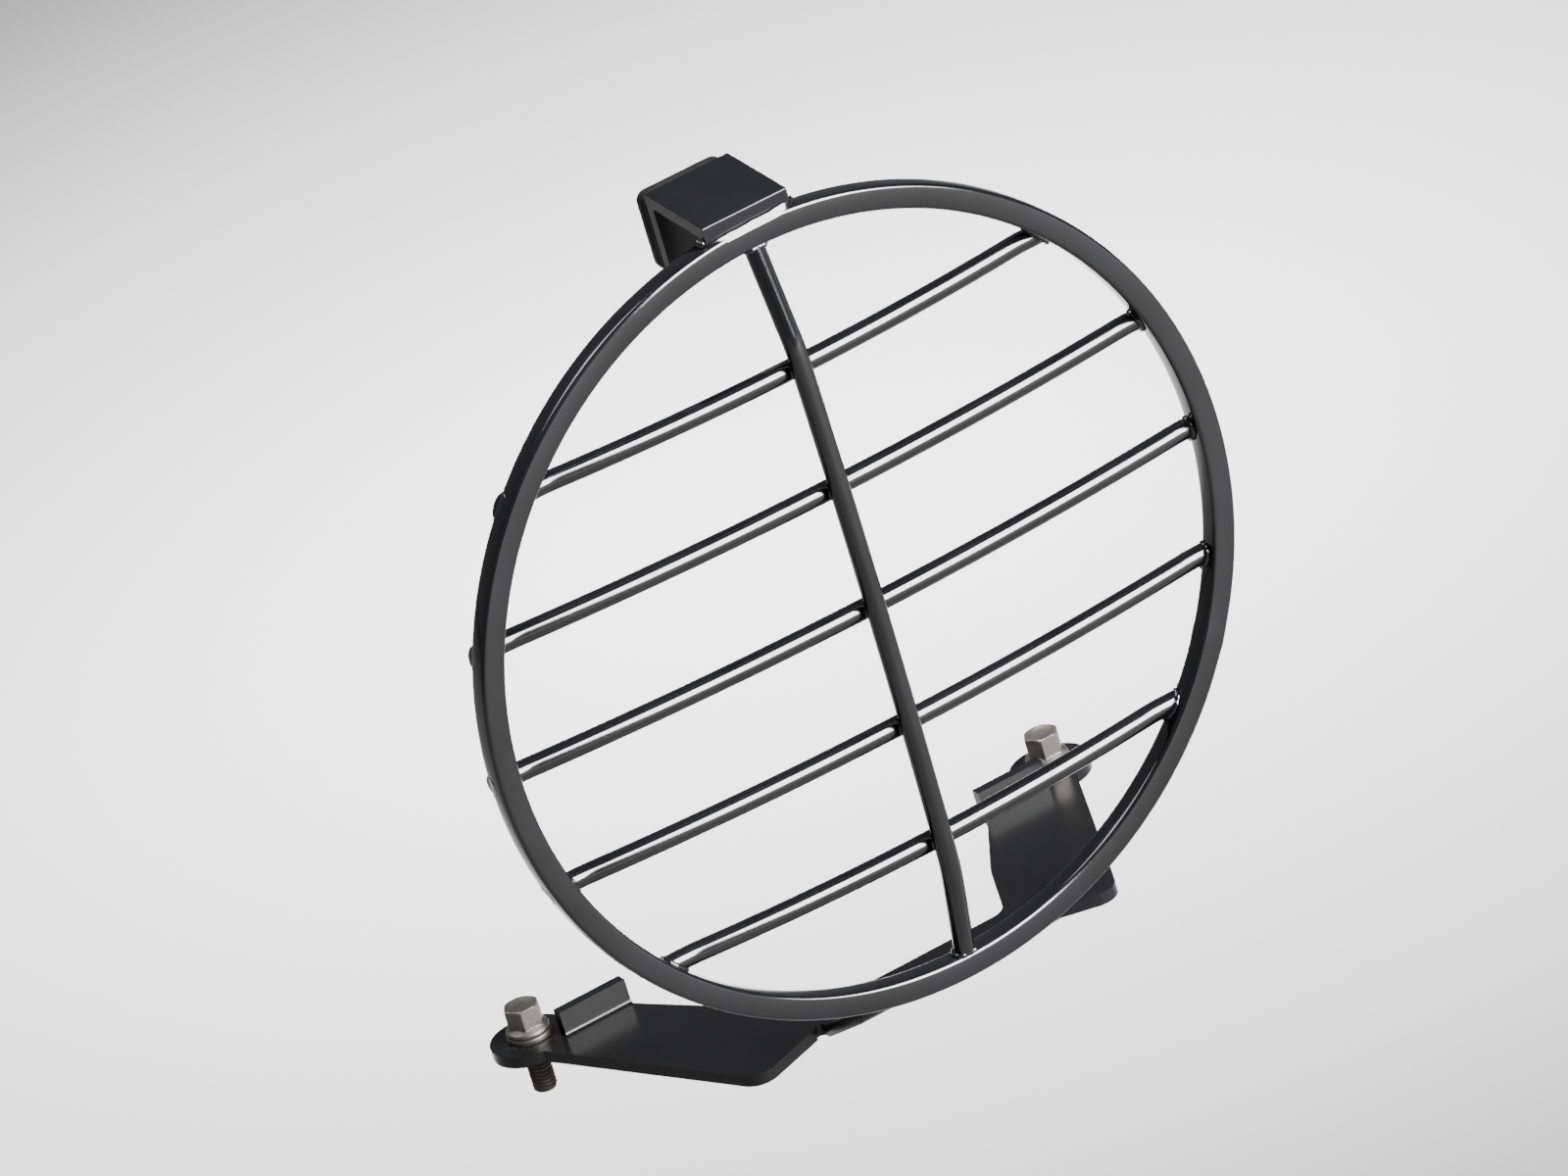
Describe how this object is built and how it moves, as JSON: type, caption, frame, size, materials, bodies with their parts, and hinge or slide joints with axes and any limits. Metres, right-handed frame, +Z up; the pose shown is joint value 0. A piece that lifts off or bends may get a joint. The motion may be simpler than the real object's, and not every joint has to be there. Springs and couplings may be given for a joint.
{
  "type": "motorcycle headlight guard",
  "caption": "Round headlight guard: a square-bar ring crossed by bowed rods, with a padded top bracket and a forked lower bracket that bolts down.",
  "frame": {"origin": "midway between the bolt axes, on the underside of the lower bracket's level plate", "axes": "+Z up along the bolts, -Y forward out of the grille's front, +X to the rider's left"},
  "size_m": [0.201, 0.1105, 0.2294],
  "materials": {
    "ring": "satin black powder coat",
    "bar_top": "satin black powder coat",
    "bar_upper": "satin black powder coat",
    "bar_middle": "satin black powder coat",
    "bar_lower": "satin black powder coat",
    "bar_bottom": "satin black powder coat",
    "vertical_bar": "satin black powder coat",
    "top_bracket": "satin black powder coat",
    "rubber_pad": "matte moulded rubber",
    "lower_bracket": "satin black powder coat",
    "bolt_left": "dull zinc plate",
    "bolt_right": "dull zinc plate",
    "washer_left": "dull zinc plate",
    "washer_right": "dull zinc plate"
  },
  "bodies": {
    "root": {"ring": "ring", "bar_top": "bar_top", "bar_upper": "bar_upper", "bar_middle": "bar_middle", "bar_lower": "bar_lower", "bar_bottom": "bar_bottom", "vertical_bar": "vertical_bar", "top_bracket": "top_bracket", "rubber_pad": "rubber_pad", "lower_bracket": "lower_bracket", "bolt_left": "bolt_left", "bolt_right": "bolt_right", "washer_left": "washer_left", "washer_right": "washer_right"}
  },
  "joints": []
}
